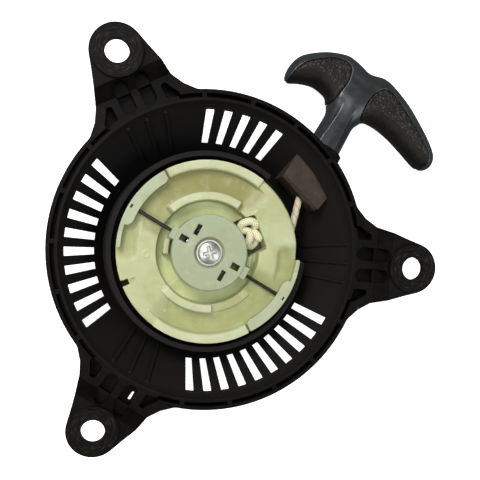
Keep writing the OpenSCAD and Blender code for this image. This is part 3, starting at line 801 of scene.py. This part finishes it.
# Each row is a height, inner and outer radius, first and last angle in degrees, and then how far the
# slopes reach beyond those four, in millimetres and in degrees
SUNK = (
    (RECESS, 27.5, 43.4, 60, 156, 0.8, 0.9, 15, 13),
    (RECESS, 27.5, 43.4, 240, 336, 0.8, 0.9, 15, 13),
    (RECESS, 41, 60, 122.6, 182.4, 4, 1, 0.8, 9),
    (RECESS, 41, 60, 302.6, 362.4, 4, 1, 0.8, 9),
)
RAISED = (
    (BAND, 44.8, 60, 57, 121.2, 2.2, 1, 1.4, 0.5),
    (BAND, 44.8, 60, 237, 301.2, 2.2, 1, 1.4, 0.5),
    (BAND, 28.1, 32, 61, 134, 0.7, 0.7, 1.5, 5),
    (BAND, 28.1, 32, 223, 277, 0.7, 0.7, 1.5, 1.5),
    (RECESS + 0.9, 28.1, 32, 277, 318, 0.7, 0.7, 1.5, 6),
    (PLATEAU + 0.5, 21.3, 23.9, 165.5, 185.5, 0.6, 0.6, 1, 1),
    (PLATEAU + 0.5, 21.3, 23.9, 345.5, 365.5, 0.6, 0.6, 1, 1),
)


def smooth_step(distance, width):
    """1 inside, 0 outside, from a signed distance, with a soft slope of a width in millimetres."""
    t = np.clip(0.5 - distance / width, 0, 1)
    return t * t * (3 - 2 * t)


def plateau_mask(value, low, high, before, after):
    """1 between low and high, with soft slopes of the given widths outside them."""
    t = np.clip(1 + (value - low) / before, 0, 1) * np.clip(1 + (high - value) / after, 0, 1)
    return t * t * (3 - 2 * t)


def from_spot(x, y, at, angle):
    """Distance from a spot that lies at a radius and at an angle in degrees."""
    angle = math.radians(angle)
    return np.hypot(x - at * math.cos(angle), y - at * math.sin(angle))


def reel_top(r, angle):
    """Height of the reel's front face at a radius in millimetres and an angle in degrees."""
    turn = np.radians(angle)
    x, y = r * np.cos(turn), r * np.sin(turn)
    # The plateau is a little uneven, and lower at its edge
    uneven = 0.07 * np.sin(x / 6.1 + 1.3) * np.sin(y / 7.3)
    high = PLATEAU - 0.5 * smooth_step(REEL_R - 0.4 - r, 1.6) + uneven
    high = high + (FLOOR - high) * smooth_step(r - FLOOR_R, 1.1)
    high = high + (HUB_TOP - high) * smooth_step(r - HUB_R, 0.8)
    for features, keep in ((SUNK, np.minimum), (RAISED, np.maximum)):
        for height, r_in, r_out, first, last, in_slope, out_slope, first_slope, last_slope in features:
            half = (last - first) / 2
            off = (angle - first - half + 180) % 360 - 180
            mask = plateau_mask(off, -half, half, first_slope, last_slope)
            mask = mask * plateau_mask(r, r_in, r_out, in_slope, out_slope)
            high = high + keep(height - high, 0) * mask
    # Bowl-like floor between the ridge and the band
    off = np.abs((angle - 105 + 90) % 180 - 90) - 45
    bowl = np.maximum(np.maximum(33.5 - r, r - 42.5), np.radians(off) * r)
    high = high - 0.8 * smooth_step(bowl, 9)
    for side in (0, 180):
        pin = from_spot(x, y, PIN_AT, PIN_ANGLE + side) - PIN_R
        high = high + (PIN_TOP - high) * smooth_step(pin, 0.4)
    ring = np.abs(from_spot(x, y, RING_AT, RING_ANGLE) - RING_R) - RING_HALF
    high = high + RING_RISE * smooth_step(ring, 0.7)
    high = high - GATE_DEPTH * smooth_step(from_spot(x, y, GATE_AT, GATE_ANGLE) - GATE_R, 0.6)
    px, py = turned(x - POCKET_X, y - POCKET_Y, math.radians(POCKET_TURN))
    dx, dy = np.abs(px + 0.1) - POCKET_HALF[0], np.abs(py - 0.1) - POCKET_HALF[1]
    corner = np.hypot(np.maximum(dx, 0), np.maximum(dy, 0))
    pocket = corner + np.minimum(np.maximum(dx, dy), 0) - POCKET_CORNER
    return high + (POCKET_FLOOR - high) * smooth_step(pocket, 0.9)


def make_reel():
    """The reel as a ring of profiles: its front face follows reel_top, the rest is turned."""
    angle = np.arange(COLUMNS) * 360 / COLUMNS
    front = np.concatenate([np.arange(BORE_R, CORE_R, FACE_STEP), np.linspace(CORE_R, REEL_R, FLANGE_STEPS)])
    rest = [(r, GROOVE_TOP) for r in front[front >= CORE_R][::-1]] + BACK_PROFILE
    height = reel_top(front[None, :], angle[:, None])
    count = len(front) + len(rest)
    radius = np.tile([*front, *(r for r, _ in rest)], (COLUMNS, 1))
    level = np.hstack([height, np.tile([z for _, z in rest], (COLUMNS, 1))])
    turn = np.radians(angle)[:, None]
    points = np.stack([radius * np.cos(turn), radius * np.sin(turn), level], 2).reshape(-1, 3)
    # Cells of the notch in the rim, left out of the flange's front, edge and back
    last = len(front) - 1
    across = np.abs(np.radians(angle + 180 / COLUMNS - NOTCH_ANGLE) * NOTCH_AT) < NOTCH_HALF
    cut = np.zeros((COLUMNS, count), bool)
    notch = [k for k in range(last) if front[k] >= NOTCH_FROM]
    for k in notch + [last] + [2 * last - k for k in notch]:
        cut[across, k] = True
    faces = []
    for c in range(COLUMNS):
        here, there = c * count, (c + 1) % COLUMNS * count
        for k in range(count):
            if not cut[c, k]:
                n = (k + 1) % count
                faces.append((here + k, there + k, there + n, here + n))
    # The notch's inner wall, then its two sides. mirror gives a front vertex's partner behind the flange
    mirror = {k: 2 * last + 1 - k for k in range(notch[0], last + 1)}
    inside = np.flatnonzero(across)
    start = notch[0]
    for c in inside:
        here, there = c * count, (c + 1) % COLUMNS * count
        faces.append((here + start, there + start, there + mirror[start], here + mirror[start]))
    for edge, flip in ((inside[0], False), (inside[-1] + 1, True)):
        for k in notch:
            side = [edge * count + v for v in (k, mirror[k], mirror[k + 1], k + 1)]
            faces.append(tuple(side[::-1] if flip else side))
    add_piece("reel_shape", points, faces, "reel", "reel_nylon", ("reel",))


# ---------- centre screw ----------

HEAD_R, HEAD_BASE = 6.1, -14.6
DOME_R, DOME_MIDDLE = 10.45, -21.6
HEAD_LOW, HEAD_HIGH, HEAD_STEP = (-6.6, -6.6, -15), (6.6, 6.6, -10.6), 0.11
# Cross recess: turn, half length and width of an arm at a height, how they widen upwards, and floor
CROSS_TURN, CROSS_LONG, CROSS_WIDE, CROSS_AT, CROSS_FLARE, CROSS_FLOOR = 20, 3.3, 0.55, -14.2, 0.16, -13.6
# Radius and height along the shank
SHANK = ((3, -14.4), (3, -30.4), (2.4, -31))
SHANK_SIDES = 48


def screw_head(x, y, z):
    """Domed pan head with a cross recess, in millimetres."""
    radial = np.hypot(x, y)
    dome = np.sqrt(radial ** 2 + (z - DOME_MIDDLE) ** 2) - DOME_R
    head = smooth_max(smooth_max(dome, radial - HEAD_R, 0.8), HEAD_BASE - z, 0.3)
    wider = (z - CROSS_AT) * CROSS_FLARE
    for turn in (CROSS_TURN, CROSS_TURN + 90):
        u, v = turned(x, y, math.radians(-turn))
        arm = np.maximum(np.abs(u) - CROSS_LONG - wider, np.abs(v) - CROSS_WIDE - wider)
        head = smooth_max(head, -np.maximum(arm, CROSS_FLOOR - z), 0.25)
    return head


def make_screw():
    """The centre screw's head, and its shank as a closed ring of profiles."""
    points, faces = sampled(HEAD_LOW, HEAD_HIGH, HEAD_STEP, screw_head)
    add_piece("screw_head", points, faces, "housing", "plated_steel", ("centre_screw",))
    sides, last = SHANK_SIDES, len(SHANK) - 1
    ring = [2 * math.pi * k / sides for k in range(sides)]
    points = [(r * math.cos(a), r * math.sin(a), z) for r, z in SHANK for a in ring]
    faces = [
        (k * sides + j, (k + 1) * sides + j, (k + 1) * sides + (j + 1) % sides, k * sides + (j + 1) % sides)
        for k in range(last) for j in range(sides)
    ]
    faces += [tuple(range(sides)), tuple(range((last + 1) * sides - 1, last * sides - 1, -1))]
    add_piece("screw_shank", points, faces, "housing", "plated_steel")


# ---------- CAD nodes ----------


def finish_node(name, material):
    """Gives a CAD node its material."""
    node = nodes[name]
    node.data.materials.clear()
    node.data.materials.append(materials[material])


materials = make_materials()
make_camera()
make_stage()
for cad_name, slot_name in (
    ("housing", "housing_plastic"),
    ("rope_guide", "guide_plastic"),
    ("rope_eyelet", "plated_steel"),
    ("post_insert", "brass"),
    ("power_spring", "spring_steel"),
    ("centre_screw", "plated_steel"),
    ("centre_bush", "plated_steel"),
    ("thrust_washer", "plated_steel"),
    ("reel", "reel_nylon"),
    ("rope_wound", "rope_braid"),
    ("reel_knot", "rope_braid"),
    ("pawl_a", "pawl_nylon"),
    ("pawl_b", "pawl_nylon"),
    ("retainer_cap", "cap_nylon"),
    ("drive_wire_a", "black_wire"),
    ("drive_wire_b", "black_wire"),
    ("friction_spring", "spring_steel"),
    ("rope_run", "rope_braid"),
    ("handle_body", "handle_plastic"),
    ("grip_left", "grip_rubber"),
    ("grip_right", "grip_rubber"),
    ("knot_washer", "plated_steel"),
    ("handle_knot", "rope_braid"),
):
    finish_node(cad_name, slot_name)
make_rope()
make_handle()
make_reel()
make_screw()
